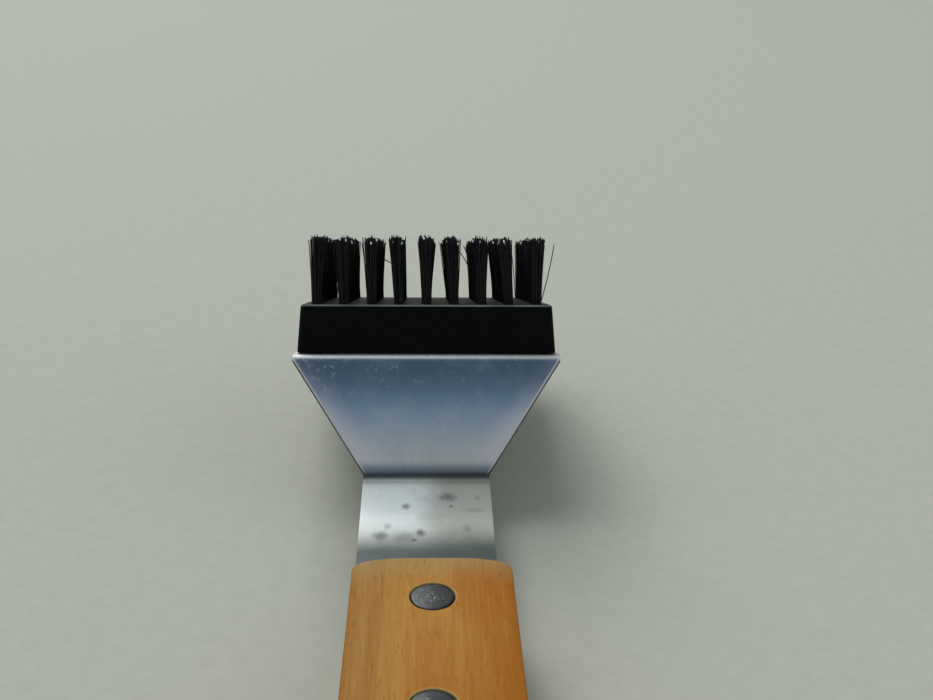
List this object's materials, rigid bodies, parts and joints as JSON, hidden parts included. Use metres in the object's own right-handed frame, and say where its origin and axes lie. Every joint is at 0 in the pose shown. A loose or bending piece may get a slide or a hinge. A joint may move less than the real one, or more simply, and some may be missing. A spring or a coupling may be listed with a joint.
{
  "type": "grill brush",
  "caption": "Short grill cleaning brush with a riveted wooden handle, a bent steel neck and flange, and a flat block of stiff black bristle tufts.",
  "frame": {"origin": "bottom centre of the bounding box, on the plane of the handle's flat back", "axes": "+Y from the butt of the handle to the head, +Z the way the bristles stand, X across the brush"},
  "size_m": [0.062, 0.2484, 0.0627],
  "materials": {
    "sheet_steel": "fine brushed, with light grey stains",
    "black_plastic": "satin moulded",
    "bristle": "stiff heat-resistant filament",
    "beech": "sanded and lightly oiled",
    "rivet_steel": "dull, mottled",
    "screw_steel": "plain plated"
  },
  "bodies": {
    "root": {"steel_plate": "sheet_steel", "brush_block": "black_plastic", "bristle_row_1": "bristle", "bristle_row_2": "bristle", "bristle_row_3": "bristle", "bristle_row_4": "bristle", "bristle_row_5": "bristle", "bristle_row_6": "bristle", "bristle_row_7": "bristle", "bristle_row_8": "bristle", "bristle_row_9": "bristle", "bristle_row_10": "bristle", "handle_top": "beech", "handle_bottom": "beech", "rivet_1_cap": "rivet_steel", "rivet_2_cap": "rivet_steel", "rivet_3_cap": "rivet_steel", "rivet_1_socket": "rivet_steel", "rivet_2_socket": "rivet_steel", "rivet_3_socket": "rivet_steel", "screw_1": "screw_steel", "screw_2": "screw_steel", "screw_3": "screw_steel", "screw_4": "screw_steel"}
  },
  "joints": []
}
